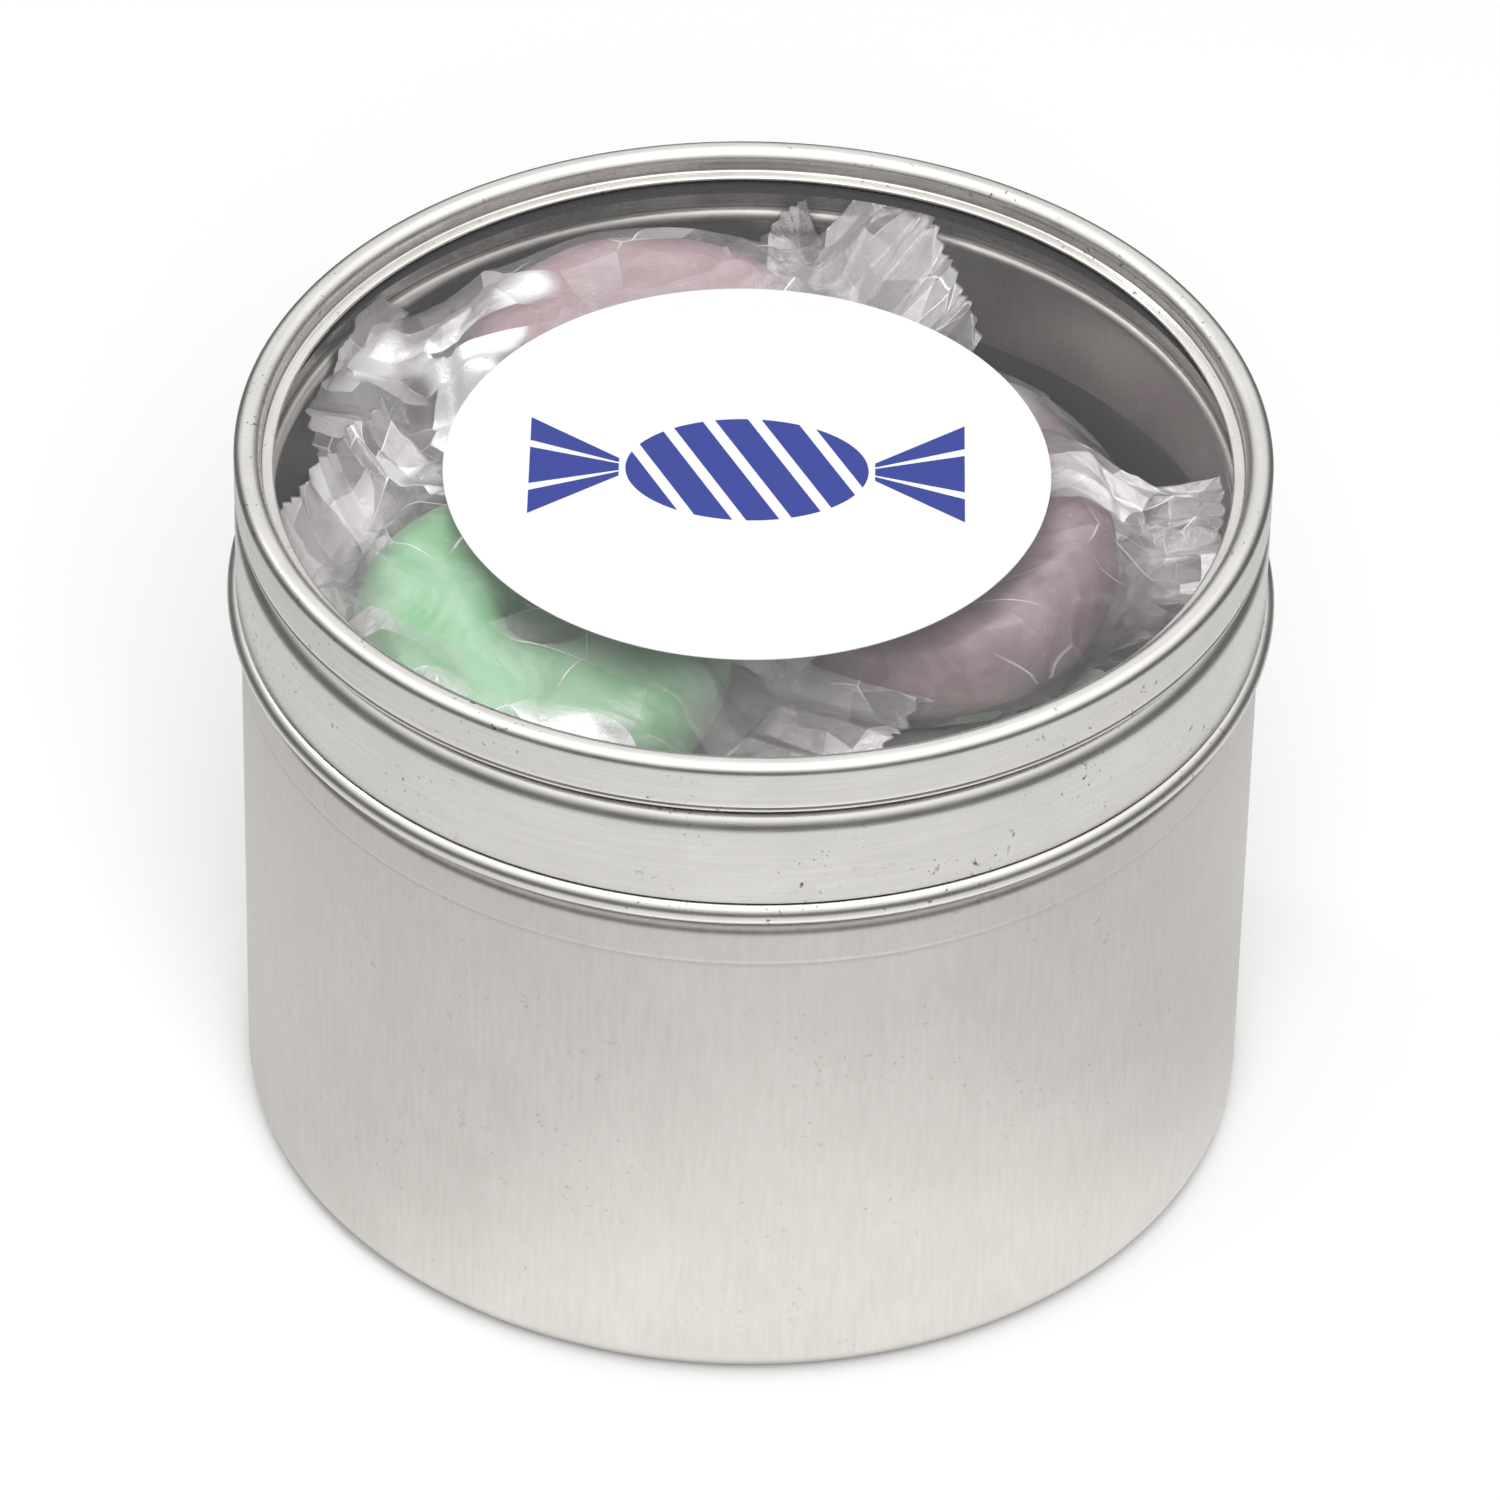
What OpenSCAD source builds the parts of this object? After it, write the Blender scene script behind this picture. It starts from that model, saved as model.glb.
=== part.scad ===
// Round slip-lid tin with a clear window in its lid, filled with wrapped ring sweets.
// Millimetres. +Z is up, and the origin is the middle of the foot that the tin stands on.

/* [Tin] */
// Outside diameter of the straight wall
tin_d = 64.3; // [64:0.1:70]
// Height of the tin without its lid, from the foot to the top of the mouth
tin_h = 45.35; // [45.3:0.05:60]
// Thickness of the tinplate, in the tin and in the lid
plate_t = 0.3; // [0.2:0.05:0.35]
// Outside radius where the wall turns into the base
base_r = 1.8; // [1:0.1:3]
// How far the middle of the base is pressed up
base_rise = 0.5; // [0.3:0.1:0.8]
// Width of the flat ring that the tin stands on
foot_w = 3; // [2:0.5:5]
// How far the neck steps in from the wall
neck_step = 0.95; // [0.8:0.05:1.1]
// Height of the neck, from the shoulder to the top of the mouth
neck_h = 8.35; // [7:0.05:12]
// Radius of the shoulder under the neck
shoulder_r = 0.9; // [0.5:0.05:0.9]
// Thickness of the roll round the mouth
mouth_roll_d = 1.2; // [1:0.05:1.4]

/* [Lid] */
// Running gap between the lid's rolled edge and the neck
lid_clear = 0.3; // [0.2:0.05:0.5]
// Gap left between the lid's seat and the mouth
seat_gap = 0.05; // [0.05:0.01:0.2]
// Gap left between the lid's rolled edge and the tin's shoulder
edge_gap = 0.45; // [0.35:0.05:0.8]
// Thickness of the lid's rolled lower edge
edge_roll_d = 1.5; // [1.3:0.05:1.8]
// How far the rolled edge stands out from the skirt
edge_proud = 0.6; // [0.5:0.05:0.7]
// Outside radius of the lid's shoulder
lid_shoulder_r = 1.3; // [0.8:0.1:1.4]
// Depth of the groove between the shoulder and the collar
groove_depth = 1.5; // [1.45:0.05:1.7]
// Height of the groove's mouth
groove_gap = 0.35; // [0.3:0.05:0.8]
// Height of the collar, from its lower edge to the top of the rim
collar_h = 3.45; // [3.2:0.05:6]
// Width of the rim round the window
rim_w = 1.7; // [1.5:0.05:2]
// Height of the rim's inner face, from the top of the rim to its lip
rim_drop = 1.4; // [1.2:0.05:1.6]
// Width of the lip that holds the window down
lip_w = 0.6; // [0.4:0.05:1]

/* [Window and label] */
// Thickness of the window's clear sheet
pane_t = 0.3; // [0.2:0.05:0.4]
// Play of the window in the lid
pane_clear = 0.1; // [0.05:0.01:0.15]
// Diameter of the round label
label_d = 38; // [20:0.5:50]
// Thickness of the label
label_t = 0.1; // [0.05:0.01:0.2]
// How far the label lies left of the middle
label_left = 0.4; // [0:0.1:2]
// How far the label lies in front of the middle
label_forward = 0.7; // [0:0.1:2]

/* [Sweets] */
// Diameter of one sweet
sweet_d = 24; // [23:0.1:24.2]
// Thickness of one sweet
sweet_t = 7.4; // [7.2:0.1:7.5]
// Diameter of the hole through a sweet
sweet_hole_d = 6; // [4:0.5:8]
// Radius of a sweet's outer edges
sweet_edge_r = 3; // [2:0.1:3.4]
// Radius of the edges round the hole
hole_edge_r = 1.6; // [0.5:0.1:2.4]
// Thickness of the wrapping film, with its folds pressed flat
film_t = 0.2; // [0.15:0.01:0.25]
// Air between a sweet and its film
film_gap = 0.1; // [0.05:0.01:0.15]
// Distance between the teeth of a saw-cut film end
tooth_pitch = 1.1; // [0.8:0.1:2]
// Depth of those teeth
tooth_depth = 0.4; // [0.2:0.1:0.8]
// Air between neighbours in the stack
pack_gap = 0.2; // [0.15:0.01:0.25]

/* [Hidden] */
PER_LAYER = 3;
FULL_TURN = 360;
ARC_STEPS = 6;
ROUND = 96;
CURL_ROUND = 48;
SLIT = [245, 275];
// Radii of the rim's outer and inner rounding, as shares of its width.
RIM_OUT_SHARE = 0.36;
RIM_IN_SHARE = 0.44;

// Film ends of a sweet in the stack: length, bend and width.
STACK_END = [5, 0, 11];

// The sweets that lie loose on the stack, set by hand after the photograph. Each row holds the level above
// the stack, the bearing from the middle, the swing round the tin and the distance from its side, both as
// shares of the free play there, the lift as a share of the wrapped radius, the lean, the bearings of the low
// side and of the film ends, the two ends, and the flavour.
LOOSE = [
    [1, -68, 0.23, 0.13, 0.195, 14, 120, 26, [5, 0, 11], [5, 0, 11], 0],
    [1, 172, -0.12, 0.13, 0.203, 14, 20, 79, [5, 0, 11], [5, 0, 11], 1],
    [1, 52, 0, 0.16, 0.203, 14, -90, -38, [5, 0, 11], [5, 0, 11], 1],
    [2, -127, -0.71, 0.19, 0.29, 8, -60, -28, [9.5, 0, 11], [4.5, -50, 11], 0],
    [2, -5, 0, 0, -0.015, 8, 200, -4, [5.5, 8, 11], [2, -75, 6], 1],
    [2, 115, -0.05, 0.045, 0.309, 9, -100, 16, [5, 0, 11], [3.5, -45, 9], 1],
];
// Rows of the sweet at the right and of the one at the back that it lies against.
RIGHT = 4;
BACK = 5;
// Share of the way to the neck that the right-hand sweet's outer end covers, and the slope that it climbs.
END_SHARE = 0.7;
CLIMB = 0.25;
FLAVOURS = ["#9cc9a6", "#b9838b"];

tin_r = tin_d / 2;
neck_r = tin_r - neck_step;
mouth_roll_r = mouth_roll_d / 2;
mouth_roll_z = tin_h - mouth_roll_r;
shoulder_z = tin_h - neck_h;
floor_z = base_rise + plate_t;
inner_r = tin_r - plate_t;

lid_r = neck_r + lid_clear + edge_roll_d;
edge_roll_r = edge_roll_d / 2;
edge_roll_z = shoulder_z + edge_gap + edge_roll_r;
skirt_r = lid_r - edge_proud;
seat_z = tin_h + seat_gap;
lid_shoulder_z = seat_z + plate_t;
groove_r = skirt_r - groove_depth;
collar_z = lid_shoulder_z + groove_gap;
ledge_z = collar_z + plate_t;
top_z = collar_z + collar_h;
open_r = skirt_r - rim_w;
rim_out_r = RIM_OUT_SHARE * rim_w;
rim_in_r = RIM_IN_SHARE * rim_w;
lip_z = top_z - rim_drop;

pane_r = skirt_r - plate_t - pane_clear;
pane_z = lip_z - plate_t - pane_clear;

film_r = sweet_d / 2 + film_gap + film_t;
film_half = sweet_t / 2 + film_gap + film_t;
film_edge_r = sweet_edge_r + film_gap + film_t;
pitch = 2 * film_half + pack_gap;
wall_gap = 0.3;
stack_ring = inner_r - film_r - wall_gap;
mouth_ring = neck_r - mouth_roll_d - film_r;
touch_gap = 0.3;
window_gap = 0.3;
end_root = 0.5;
end_lap = 1.2;

// Free play of three sweets side by side, which lie in the tin's wall at level 1 and in its mouth above that.
function ring(level) = level == 1 ? stack_ring : mouth_ring;
function play(level) = ring(level) * sqrt(3) - 2 * film_r;
function bearing(k) = LOOSE[k][1] + LOOSE[k][2] * play(LOOSE[k][0]) / ring(LOOSE[k][0]) * 180 / PI;

// Distance from the middle. The right-hand sweet's follows from the one that it lies against.
function touching(turn, other) = other * cos(turn) + sqrt(pow(2 * film_r + touch_gap, 2) - pow(other * sin(turn), 2));
function reach(k) = k == RIGHT
    ? touching(bearing(BACK) - bearing(RIGHT), reach(BACK))
    : ring(LOOSE[k][0]) - LOOSE[k][3] * play(LOOSE[k][0]);

// Height of a loose sweet's middle and of its highest point over the stack.
function lift(k) = LOOSE[k][4] * film_r + (k == RIGHT ? CLIMB * reach(k) : 0);
function loose_mid(k) = (LOOSE[k][0] - 0.5) * pitch + lift(k);
function loose_top(k) = loose_mid(k) + film_edge_r
    + (film_r - film_edge_r) * sin(LOOSE[k][5]) + (film_half - film_edge_r) * cos(LOOSE[k][5]);

// As many layers as fit under the loose sweets and the window.
loose_h = max([for (k = [0 : len(LOOSE) - 1]) loose_top(k)]);
LAYERS = floor((pane_z - pane_t - window_gap - loose_h - floor_z) / pitch);
stack_top_z = floor_z + LAYERS * pitch;

STACKED = LAYERS * PER_LAYER;
SWEETS = STACKED + len(LOOSE);
function numbered(name, i) = str(name, i < 9 ? "_0" : "_", i + 1);

// Points of an arc about [x, z], from one angle to another.
function arc(x, z, r, from, to, steps = ARC_STEPS) =
    [for (i = [0 : steps]) let (a = from + (to - from) * i / steps) [x + r * cos(a), z + r * sin(a)]];

module turned(points) {
    rotate_extrude($fn = ROUND) polygon(points);
}

// A plate edge curled into a tube, open along a narrow slit where the curl ends.
module curl(x, z, r) {
    bore = r - plate_t;
    rotate_extrude($fn = ROUND) difference() {
        translate([x, z]) circle(r = r, $fn = CURL_ROUND);
        translate([x, z]) circle(r = bore, $fn = CURL_ROUND);
        translate([x, z]) polygon([[0, 0], 2 * r * [cos(SLIT[0]), sin(SLIT[0])], 2 * r * [cos(SLIT[1]), sin(SLIT[1])]]);
    }
}

// Drawn tin: pressed-up base, wall, shoulder, neck and the mouth rolled inward.
module tin_body() {
    foot_in = tin_r - base_r - foot_w;
    slope = base_rise;
    outside = concat(
        [[0, base_rise], [foot_in - slope, base_rise], [foot_in, 0]],
        arc(tin_r - base_r, base_r, base_r, -90, 0),
        arc(tin_r - shoulder_r, shoulder_z - shoulder_r, shoulder_r, 0, 90),
        [[neck_r, shoulder_z], [neck_r, mouth_roll_z]]
    );
    inside = concat(
        [[neck_r - plate_t, mouth_roll_z], [neck_r - plate_t, shoulder_z - plate_t]],
        arc(tin_r - shoulder_r, shoulder_z - shoulder_r, shoulder_r - plate_t, 90, 0),
        arc(tin_r - base_r, base_r, base_r - plate_t, 0, -90),
        [[foot_in + slope / 2, plate_t], [foot_in - slope / 2, floor_z], [0, floor_z]]
    );
    color("#cfccc8") union() {
        turned(concat(outside, inside));
        curl(neck_r - mouth_roll_r, mouth_roll_z, mouth_roll_r);
    }
}

// Lid pressed from one plate: skirt, shoulder, groove, collar, rim and lip, then the rolled lower edge.
module lid_ring() {
    skirt_end_z = edge_roll_z + edge_roll_r - plate_t / 2;
    corner_r = plate_t;
    outside = concat(
        [[skirt_r, skirt_end_z]],
        arc(skirt_r - lid_shoulder_r, lid_shoulder_z - lid_shoulder_r, lid_shoulder_r, 0, 90),
        [[groove_r, lid_shoulder_z], [groove_r, collar_z]],
        arc(skirt_r - corner_r, collar_z + corner_r, corner_r, -90, 0, 3),
        arc(skirt_r - rim_out_r, top_z - rim_out_r, rim_out_r, 0, 90),
        arc(open_r + rim_in_r, top_z - rim_in_r, rim_in_r, 90, 180),
        [[open_r, lip_z], [open_r - lip_w, lip_z]]
    );
    inside = concat(
        [[open_r - lip_w, lip_z - plate_t], [open_r + plate_t, lip_z - plate_t]],
        arc(open_r + rim_in_r, top_z - rim_in_r, rim_in_r - plate_t, 180, 90),
        arc(skirt_r - rim_out_r, top_z - rim_out_r, rim_out_r - plate_t, 90, 0),
        [[skirt_r - plate_t, ledge_z], [groove_r - plate_t, ledge_z], [groove_r - plate_t, seat_z]],
        arc(skirt_r - lid_shoulder_r, lid_shoulder_z - lid_shoulder_r, lid_shoulder_r - plate_t, 90, 0),
        [[skirt_r - plate_t, skirt_end_z]]
    );
    color("#d4d1cd") union() {
        turned(concat(outside, inside));
        curl(lid_r - edge_roll_r, edge_roll_z, edge_roll_r);
    }
}

// Clear disc with its edge turned down onto the ledge of the groove.
module window_pane() {
    foot_z = ledge_z + pane_clear;
    bend_r = 2 * pane_t;
    color("#e8eef0", 0.3) turned(concat(
        [[0, pane_z - pane_t], [pane_r - bend_r, pane_z - pane_t], [pane_r - pane_t, pane_z - bend_r]],
        [[pane_r - pane_t, foot_z], [pane_r, foot_z]],
        arc(pane_r - bend_r, pane_z - bend_r, bend_r, 0, 90, 3),
        [[0, pane_z]]
    ));
}

module label() {
    color("white") translate([-label_left, -label_forward, pane_z])
        cylinder(d = label_d, h = label_t, $fn = ROUND);
}

// Half section of a round cake with rounded edges.
function cake(r, half, edge_r) = concat(
    [[0, -half]],
    arc(r - edge_r, edge_r - half, edge_r, -90, 0),
    arc(r - edge_r, half - edge_r, edge_r, 0, 90),
    [[0, half]]
);

module ring_sweet() {
    r = sweet_d / 2;
    half = sweet_t / 2;
    hole_r = sweet_hole_d / 2;
    turned(concat(
        arc(r - sweet_edge_r, sweet_edge_r - half, sweet_edge_r, -90, 0),
        arc(r - sweet_edge_r, half - sweet_edge_r, sweet_edge_r, 0, 90),
        arc(hole_r + hole_edge_r, half - hole_edge_r, hole_edge_r, 90, 180),
        arc(hole_r + hole_edge_r, hole_edge_r - half, hole_edge_r, 180, 270)
    ));
}

// Flat film end along +X with a saw-cut edge. shape is its length, upward bend and width.
module film_end(shape) {
    long = shape[0];
    wide = shape[2];
    teeth = round(wide / tooth_pitch);
    step = wide / teeth;
    tips = [for (i = [0 : teeth - 1]) each [
        [long - tooth_depth, -wide / 2 + step * i],
        [long, -wide / 2 + step * (i + 0.5)]
    ]];
    translate([film_r - end_root, 0, 0]) rotate([0, -shape[1], 0]) translate([0, 0, -film_t / 2])
        linear_extrude(film_t)
            polygon(concat([[-end_lap, -wide / 2]], tips, [[long - tooth_depth, wide / 2], [-end_lap, wide / 2]]));
}

// Film pulled tight round a sweet, with its two ends pressed flat.
module film(end_a, end_b) {
    difference() {
        union() {
            turned(cake(film_r, film_half, film_edge_r));
            film_end(end_a);
            mirror([1, 0, 0]) film_end(end_b);
        }
        turned(cake(film_r - film_t, film_half - film_t, film_edge_r - film_t));
    }
}

// The stack turns by half a place from layer to layer, so that each sweet bridges the two below it.
function stack_bearing(i) = 30 + FULL_TURN / PER_LAYER * (i % PER_LAYER + floor(i / PER_LAYER) / 2);
function stack_z(i) = floor_z + pack_gap + film_half + pitch * floor(i / PER_LAYER);
function outer_end(k, end) = k == RIGHT
    ? [END_SHARE * (neck_r - plate_t - reach(k) - film_r + end_root), end[1], end[2]]
    : end;

function flavour(i) = i < STACKED ? i % 2 : LOOSE[i - STACKED][10];
function end_a(i) = i < STACKED ? STACK_END : outer_end(i - STACKED, LOOSE[i - STACKED][8]);
function end_b(i) = i < STACKED ? STACK_END : LOOSE[i - STACKED][9];

module placed(i) {
    if (i < STACKED) {
        rotate([0, 0, stack_bearing(i)]) translate([stack_ring, 0, stack_z(i)]) rotate([0, 0, 90]) children();
    } else {
        k = i - STACKED;
        row = LOOSE[k];
        rotate([0, 0, bearing(k)]) translate([reach(k), 0, stack_top_z + loose_mid(k)])
            rotate([0, 0, row[6] - bearing(k)]) rotate([0, row[5], 0]) rotate([0, 0, row[7] - row[6]]) children();
    }
}

module sweet(i) {
    color(FLAVOURS[flavour(i)]) placed(i) ring_sweet();
}

module wrapper(i) {
    color("#e6eae8", 0.35) placed(i) film(end_a(i), end_b(i));
}

tin_body();
lid_ring();
window_pane();
label();
for (i = [0 : SWEETS - 1]) {
    sweet(i);
    wrapper(i);
}
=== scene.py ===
from collections import namedtuple
from math import atan2, cos, hypot, pi, radians, sin

import bmesh
import bpy
import numpy as np
from mathutils import Matrix, Vector


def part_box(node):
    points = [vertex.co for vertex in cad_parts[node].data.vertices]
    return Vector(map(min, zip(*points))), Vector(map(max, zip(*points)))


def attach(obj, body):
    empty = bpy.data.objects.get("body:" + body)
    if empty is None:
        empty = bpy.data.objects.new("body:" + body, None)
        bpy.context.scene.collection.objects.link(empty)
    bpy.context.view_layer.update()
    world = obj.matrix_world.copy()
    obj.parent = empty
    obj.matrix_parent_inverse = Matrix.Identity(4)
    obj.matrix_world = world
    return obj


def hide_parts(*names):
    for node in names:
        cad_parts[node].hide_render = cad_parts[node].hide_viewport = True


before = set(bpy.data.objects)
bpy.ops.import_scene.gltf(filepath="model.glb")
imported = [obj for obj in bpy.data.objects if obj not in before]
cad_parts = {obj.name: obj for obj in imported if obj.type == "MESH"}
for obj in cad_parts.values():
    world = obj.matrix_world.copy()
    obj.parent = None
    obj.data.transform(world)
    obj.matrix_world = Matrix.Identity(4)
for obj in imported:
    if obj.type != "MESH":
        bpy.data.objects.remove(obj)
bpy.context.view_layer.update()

# Camera.
# A long lens from about 0.67 m, looking down on the tin by some 39 degrees and turned by a good degree,
# as fitted to the rims of the tin and of its lid.
MM = 0.001


def add_object(name, data):
    made = bpy.data.objects.new(name, data)
    bpy.context.scene.collection.objects.link(made)
    return made


camera_data = bpy.data.cameras.new("camera")
camera_data.sensor_width = 36
camera_data.lens = 246.98
camera = add_object("camera", camera_data)
bpy.context.scene.camera = camera

look_down = radians(39.01)
roll = radians(1.23)
image_right = Vector((cos(roll), sin(roll) * sin(look_down), sin(roll) * cos(look_down)))
image_down = Vector((sin(roll), -cos(roll) * sin(look_down), -cos(roll) * cos(look_down)))
forward = Vector((0, cos(look_down), -sin(look_down)))
# The middle of the tin's foot as the camera has it: to the right, down and forward.
foot_from_camera = (-0.574 * MM, 19.19 * MM, 673.0 * MM)
camera_place = -sum((a * d for a, d in zip((image_right, image_down, forward), foot_from_camera)), Vector())
camera_turn = Matrix((image_right, -image_down, -forward)).transposed().to_4x4()
camera.matrix_world = Matrix.Translation(camera_place) @ camera_turn


# Studio.
# The tin stands on a white table in a white room, under one big soft lamp overhead, with a fill from the
# front and a small lamp at the back left for the glints. Mirrored in the metal, the room darkens towards
# the horizon, and the table, painted darker grey towards its far sides as painted shade, gives the tin its
# dark edges; by the tin's foot the table has a painted glow that shows in reflections.
def fill(tree, made, inputs):
    """Gives each named input its number, vector or colour, or joins it to the output of another node."""
    for key, value in inputs.items():
        socket = made.inputs[key]
        if isinstance(value, (int, float)):
            socket.default_value = value
        elif isinstance(value, tuple):
            socket.default_value = (*value, 1) if socket.type == "RGBA" else value
        else:
            tree.links.new(value, socket)


def node(tree, kind, inputs=None, **settings):
    """A new node. Its settings come first, because they choose which sockets it has."""
    made = tree.nodes.new(kind)
    for key, value in settings.items():
        setattr(made, key, value)
    fill(tree, made, inputs or {})
    return made


def new_material(name):
    """A material, with its tree and its Principled surface."""
    material = bpy.data.materials.new(name)
    material.use_nodes = True
    return material, material.node_tree, material.node_tree.nodes["Principled BSDF"]


def blend(tree, share, low, high, kind="FLOAT"):
    """A value that goes from low to high as share goes from 0 to 1. Each is a number or a socket."""
    mix = node(tree, "ShaderNodeMix", {"Factor": share, "A": low, "B": high}, data_type=kind)
    return mix.outputs["Result"]


def ramp(tree, value, start, end, low=0.0, high=1.0, way="LINEAR"):
    """A value that goes from low to high while the given one goes from start to end."""
    limits = {"From Min": start, "From Max": end, "To Min": low, "To Max": high}
    reached = node(tree, "ShaderNodeMapRange", {"Value": value, **limits}, interpolation_type=way)
    return reached.outputs["Result"]


def fading(tree, value, start, end, low=0.0, high=1.0):
    """A ramp that eases in and out."""
    return ramp(tree, value, start, end, low, high, way="SMOOTHSTEP")


# Lengths in the studio are in metres. The table is brightest near the tin's front.
matt_light = 0.45
horizon_light, overhead_light = 0.15, 1.70
half_table = 0.8
table_white, table_dark = 0.93, 0.20
brightest = (0.006, -0.025, 0.0)


def white_room():
    """White to the eye. Mirrored in the metal it is dark at the horizon and bright overhead."""
    world = bpy.data.worlds.new("white_room")
    world.use_nodes = True
    tree = world.node_tree
    ray = node(tree, "ShaderNodeSeparateXYZ", {0: node(tree, "ShaderNodeTexCoord").outputs["Generated"]})
    seen_by = node(tree, "ShaderNodeLightPath").outputs
    mirrored = fading(tree, ray.outputs["Z"], 0.08, 1.0, low=horizon_light, high=overhead_light)
    strength = blend(tree, seen_by["Is Glossy Ray"], matt_light, mirrored)
    strength = blend(tree, seen_by["Is Camera Ray"], strength, 1.0)
    fill(tree, tree.nodes["Background"], {"Color": (1, 1, 1), "Strength": strength})
    return world


def white_table():
    """White to the eye, out to its far edge.

    Mirrored in the metal it has a painted glow by the tin's foot and painted shade outward.
    """
    material, tree, surface = new_material("white_table")
    ends = {0: node(tree, "ShaderNodeTexCoord").outputs["Object"], 1: brightest}
    away = node(tree, "ShaderNodeVectorMath", ends, operation="DISTANCE").outputs["Value"]
    seen_by = node(tree, "ShaderNodeLightPath").outputs
    # Painted shade: seen in reflections and by bounced light, the table's colour greys away from the tin's
    # foot.
    painted_shade_grey = fading(tree, away, 0.06, 0.17, low=table_white, high=table_dark)
    # Painted light: near the foot the table glows for mirrored rays, making up for the light its contact
    # shadow takes away.
    painted_foot_glow = fading(tree, away, 0.018, 0.045, low=0.45, high=0.0)
    painted_reflection_glow = blend(tree, seen_by["Is Glossy Ray"], 0.0, painted_foot_glow)
    far_white = fading(tree, away, 0.14, 0.50, low=0.12, high=1.0)
    fill(tree, surface, {
        "Base Color": blend(tree, seen_by["Is Camera Ray"], painted_shade_grey, table_white),
        "Emission Color": (1, 1, 1),
        "Emission Strength": blend(tree, seen_by["Is Camera Ray"], painted_reflection_glow, far_white),
        "Roughness": 0.9,
        "Specular IOR Level": 0.1,
    })
    return material


def soft_lamp(name, place, size, power):
    """A round lamp of the given width and power, turned towards the tin's foot."""
    lamp_data = bpy.data.lights.new(name, "AREA")
    lamp_data.shape = "DISK"
    lamp_data.size = size
    lamp_data.energy = power
    lamp = add_object(name, lamp_data)
    lamp.location = place
    lamp.rotation_euler = Vector(place).to_track_quat("Z", "Y").to_euler()
    return lamp


bpy.context.scene.world = white_room()
bpy.context.scene.view_settings.view_transform = "Standard"
table_mesh = bpy.data.meshes.new("table")
corners = [(x * half_table, y * half_table, 0) for x, y in ((-1, -1), (1, -1), (1, 1), (-1, 1))]
table_mesh.from_pydata(corners, [], [(0, 1, 2, 3)])
table_mesh.materials.append(white_table())
table = add_object("table", table_mesh)
soft_lamp("overhead_lamp", (0.0, -0.05, 0.75), 0.55, 1.1)
soft_lamp("glint_lamp", (-0.35, 0.25, 0.55), 0.10, 0.3)
soft_lamp("front_fill", (0.05, -0.50, 0.60), 0.50, 3.2).visible_glossy = False


# Tin.
# A seamless cup drawn from one sheet of tinplate: pressed-up base, straight wall, a shoulder that steps in
# to the neck, and a mouth rolled inward. The drawing leaves a fine grain up the wall and one faint crease.
def arc(x, z, r, start, end, steps=10):
    """Points of an arc about (x, z) in a half section, in millimetres."""
    angles = [radians(start + (end - start) * i / steps) for i in range(steps + 1)]
    return [(x + r * cos(a), z + r * sin(a)) for a in angles]


# The outline is swept round a circle of this radius, in metres, so it is drawn this much nearer the axis.
lathe_r = 0.001
same_point = 1e-7


def spinning_tree():
    """Geometry Nodes that sweep a closed outline round the axis, as a lathe would."""
    made = bpy.data.node_groups.new("spun_plate", "GeometryNodeTree")
    for name, kind, way in (
        ("Outline", "NodeSocketGeometry", "INPUT"),
        ("Steps round", "NodeSocketInt", "INPUT"),
        ("Finish", "NodeSocketMaterial", "INPUT"),
        ("Plate", "NodeSocketGeometry", "OUTPUT"),
    ):
        made.interface.new_socket(name, in_out=way, socket_type=kind)
    given = node(made, "NodeGroupInput").outputs
    outline = node(made, "GeometryNodeMeshToCurve", {"Mesh": given["Outline"]}).outputs["Curve"]
    turning = {"Resolution": given["Steps round"], "Radius": lathe_r}
    circle = node(made, "GeometryNodeCurvePrimitiveCircle", turning).outputs["Curve"]
    sweep = node(made, "GeometryNodeCurveToMesh", {"Curve": circle, "Profile Curve": outline}).outputs["Mesh"]
    real = node(made, "GeometryNodeRealizeInstances", {"Geometry": sweep}).outputs["Geometry"]
    paint = node(made, "GeometryNodeSetMaterial", {"Geometry": real, "Material": given["Finish"]})
    node(made, "NodeGroupOutput", {"Plate": paint.outputs["Geometry"]})
    return made


def set_input(modifier, name, value):
    for item in modifier.node_group.interface.items_tree:
        if item.item_type == "SOCKET" and item.in_out == "INPUT" and item.name == name:
            modifier[item.identifier] = value


def close_seams(mesh, near, only_rim=False):
    """Merges points that lie nearer to each other than near, in metres, and turns the faces outward."""
    shape = bmesh.new()
    shape.from_mesh(mesh)
    doubles = [v for v in shape.verts if v.is_boundary or not only_rim]
    bmesh.ops.remove_doubles(shape, verts=doubles, dist=near)
    bmesh.ops.recalc_face_normals(shape, faces=shape.faces)
    shape.to_mesh(mesh)
    shape.free()


def with_held_ends(outline, near=0.25):
    """The closed outline with a point near both ends of each long side, which keeps flat sides flat."""
    held = []
    for (r0, z0), (r1, z1) in zip(outline, outline[1:] + outline[:1]):
        held.append((r0, z0))
        long = hypot(r1 - r0, z1 - z0)
        if long > 4 * near:
            share = near / long
            held += [(r0 + (r1 - r0) * t, z0 + (z1 - z0) * t) for t in (share, 1 - share)]
    return held


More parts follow.
